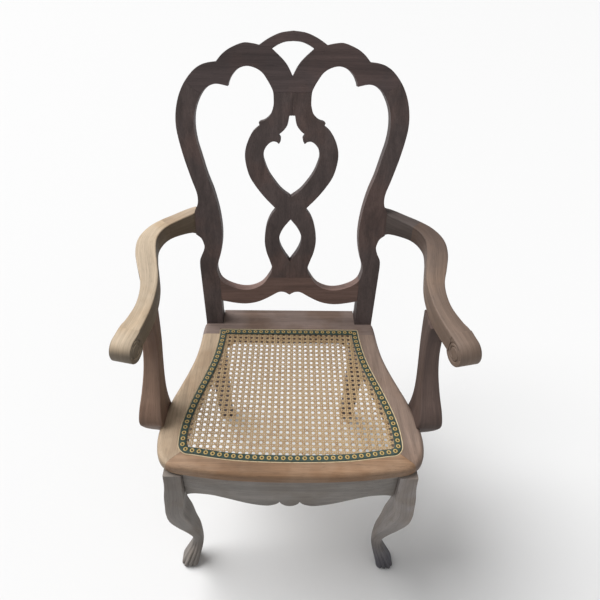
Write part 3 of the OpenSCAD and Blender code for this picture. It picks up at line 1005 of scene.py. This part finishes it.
def ribbon(name):
    """The band and its length in millimetres."""
    mid = inset(opening, RIBBON_WIDE / 2 + RIBBON_IN)
    n, m = len(mid), len(ribbon_profile)
    verts, lengths = [], [0.0]
    for i in range(n):
        a, b, c = mid[i - 1], mid[i], mid[(i + 1) % n]
        before, after = (b - a).normalized(), (c - b).normalized()
        ahead = (before + after).normalized()
        sideways = Vector((-ahead.y, ahead.x)) / max(0.6, ahead.dot(before))
        for s, h in ribbon_profile:
            p = b + sideways * s * RIBBON_WIDE
            verts.append(place(p.x, p.y, RIBBON_LOW + h * RIBBON_THICK))
        lengths.append(lengths[-1] + (c - b).length)
    faces = [(i * m + k, (i + 1) % n * m + k, (i + 1) % n * m + (k + 1) % m, i * m + (k + 1) % m)
             for i in range(n) for k in range(m)]
    mesh = bpy.data.meshes.new(name)
    mesh.from_pydata(verts, [], faces)
    layer = mesh.uv_layers.new(name="length")
    for f, poly in enumerate(mesh.polygons):
        for loop in poly.loop_indices:
            r, k = divmod(mesh.loops[loop].vertex_index, m)
            closing = f // m == n - 1 and r == 0
            u = lengths[-1] if closing else lengths[r]
            layer.data[loop].uv = (u * MM, (ribbon_profile[k][0] + 0.5) * RIBBON_WIDE * MM)
    face_out(mesh)
    mesh.shade_smooth()
    return mesh, lengths[-1]


def braid_finish(name):
    mat, t, shader = new_finish(name, Roughness=0.55, Sheen_Weight=0.2)
    source = add(t, "ShaderNodeTexCoord").outputs["UV"]
    rib = add(t, "ShaderNodeTexWave", {"Vector": source, "Scale": 330, "Distortion": 1.5,
                                       "Detail": 2}, wave_type="BANDS",
              bands_direction="X").outputs["Fac"]
    t.links.new(ramp(t, rib, (0, (0.004, 0.015, 0.011)), (1, (0.024, 0.068, 0.05))),
                shader.inputs["Base Color"])
    dented(t, shader, rib, 0.6, 0.4 * MM)
    return mat


braid_mesh, braid_length = ribbon("braid")
show(new_object("braid_ribbon", braid_mesh), braid_finish("braid_green"), "braid_trim")
print("braid length in mm", round(braid_length))

# %% [markdown]
# The braid carries a row of gold rings, each with a dark eye, about 13 mm
# apart. A ring is one small shape repeated along a path, which is just what
# Instance on Points is for.

# %% Rings along the braid
def thread_finish(name, base, dark, rough, metal=0.0):
    mat, t, shader = new_finish(name, Roughness=rough, Metallic=metal)
    twist = noise(t, add(t, "ShaderNodeTexCoord").outputs["Object"], 1100, 2)
    t.links.new(ramp(t, twist, (0.35, dark), (0.6, base)), shader.inputs["Base Color"])
    dented(t, shader, twist, 0.5, 0.3 * MM)
    return mat


gold_thread = thread_finish("gold_thread", (0.62, 0.45, 0.16), (0.30, 0.19, 0.06), 0.5)
eye_thread = thread_finish("eye_thread", (0.05, 0.035, 0.02), (0.015, 0.012, 0.01), 0.6)


def ring_tree():
    tree, sizes, end = tree_with("Rings on a path", [
        ("Count", "NodeSocketInt", 100), ("Radius", "NodeSocketFloat", 0.0034),
        ("Thread", "NodeSocketFloat", 0.0008), ("Flatten", "NodeSocketFloat", 0.55),
        ("Finish", "NodeSocketMaterial", None)])
    path = add(tree, "GeometryNodeMeshToCurve", {"Mesh": sizes["Geometry"]})
    points = add(tree, "GeometryNodeResampleCurve", {
        "Curve": path.outputs["Curve"], "Count": sizes["Count"]}, mode="COUNT")
    ring = add(tree, "GeometryNodeCurvePrimitiveCircle", {
        "Resolution": 14, "Radius": sizes["Radius"]})
    wire = add(tree, "GeometryNodeCurvePrimitiveCircle", {
        "Resolution": 6, "Radius": sizes["Thread"]})
    tube = add(tree, "GeometryNodeCurveToMesh", {
        "Curve": ring.outputs["Curve"], "Profile Curve": wire.outputs["Curve"]})
    low = add(tree, "ShaderNodeCombineXYZ", {"X": 1.0, "Y": 1.0, "Z": sizes["Flatten"]})
    squat = add(tree, "GeometryNodeTransform", {
        "Geometry": tube.outputs["Mesh"], "Scale": low.outputs["Vector"]})
    put = add(tree, "GeometryNodeInstanceOnPoints", {
        "Points": points.outputs["Curve"], "Instance": squat.outputs["Geometry"]})
    finish_tree(tree, put.outputs["Instances"], sizes, end)
    return tree


RING_APART, RING_IN, RING_UP = 13.4, 7.4, 0.45
rings_on_path = ring_tree()
count = round(braid_length / RING_APART)
for name, radius, thread, flat, mat in (
        ("braid_gold_rings", 3.2 * MM, 1.3 * MM, 0.5, gold_thread),
        ("braid_dark_eyes", 0.9 * MM, 1.0 * MM, 0.7, eye_thread)):
    o = new_object(name, closed_path(name, inset(opening, RING_IN), RING_UP))
    run_tree(o, rings_on_path, {"Count": count, "Radius": radius, "Thread": thread,
                                "Flatten": flat, "Finish": mat})
    o.data.shade_smooth()
    show(o, mat, None)
    print(name, len(o.data.polygons), "faces")

# %% [markdown]
# ## Blocks, pegs and screws
# Corner blocks, pegs, tenons and screws are hidden in the finished chair. Their
# frame shapes are right as they are, so they only get their finish.

# %% Hidden pieces
steel = thread_finish("screw_steel", (0.55, 0.55, 0.56), (0.40, 0.40, 0.41), 0.35, 1.0)
for name, o in nodes.items():
    if name.startswith("corner_block"):
        finish = block_wood
    elif name.endswith("screws"):
        finish = steel
    elif name.endswith("pegs") or name.endswith("tenons"):
        finish = peg_wood
    else:
        continue
    o.data.materials.clear()
    o.data.materials.append(finish)
    print(name, finish.name)

# %% [markdown]
# ## Floor, light and camera
# A pale floor, one broad soft light from the upper left, a weaker one from the
# front and an even surround show the shape without hard shadows.

# %% Floor and surround
FLOOR_HALF, FLOOR_DOWN = 40, -0.5 * MM
floor_mesh = bpy.data.meshes.new("floor")
floor_mesh.from_pydata([(x * FLOOR_HALF, y * FLOOR_HALF, FLOOR_DOWN)
                        for x, y in ((-1, -1), (1, -1), (1, 1), (-1, 1))], [], [(0, 1, 2, 3)])
floor = new_object("floor", floor_mesh)
floor_pale = new_finish("floor_pale", Base_Color=(0.72, 0.72, 0.72, 1), Roughness=0.9)[0]
floor.data.materials.append(floor_pale)

world = bpy.data.worlds.new("studio")
world.use_nodes = True
surround = world.node_tree.nodes["Background"].inputs
surround["Color"].default_value = (1.0, 1.0, 1.0, 1)
surround["Strength"].default_value = 0.3
bpy.context.scene.world = world
print("floor", floor.name, "surround", world.name)


# %% Lights and camera
def soft_light(name, where, aim, spread, strength):
    """A wide, even light from one side. spread is its angle in degrees: wide is soft."""
    lamp = bpy.data.lights.new(name, "SUN")
    lamp.angle = radians(spread)
    lamp.energy = strength
    o = bpy.data.objects.new(name, lamp)
    o.location = where
    o.rotation_euler = (Vector(aim) - Vector(where)).to_track_quat("-Z", "Y").to_euler()
    bpy.context.scene.collection.objects.link(o)


# the camera's place, and which ways are right, down and ahead in its view
EYE = place(-21.307, -600.114, 846.108)
RIGHT = Vector((0.99995359, 0.00891061, 0.00366424))
DOWN = Vector((0.00836416, -0.61410088, -0.78918322))
AHEAD = Vector((-0.00478189, 0.78917724, -0.61414691))

soft_light("key", (-1.9, 0.9, 3.2), (0, 0, 0.3), 50, 3.9)
soft_light("fill", (0.6, -2.6, 1.6), (0, 0, 0.5), 90, 0.3)

lens = bpy.data.cameras.new("view")
lens.sensor_width = 36.0
lens.lens = 31.288
lens.shift_x = 0.0367
lens.shift_y = -0.0167
lens.clip_start = 0.05
lens.clip_end = 200
camera = bpy.data.objects.new("view", lens)
turn = Matrix((RIGHT, -DOWN, -AHEAD)).transposed().to_4x4()
camera.matrix_world = Matrix.Translation(EYE) @ turn
bpy.context.scene.collection.objects.link(camera)
bpy.context.scene.camera = camera
bpy.context.scene.view_settings.view_transform = "Standard"
print("camera height in metres", round(EYE.z, 3))
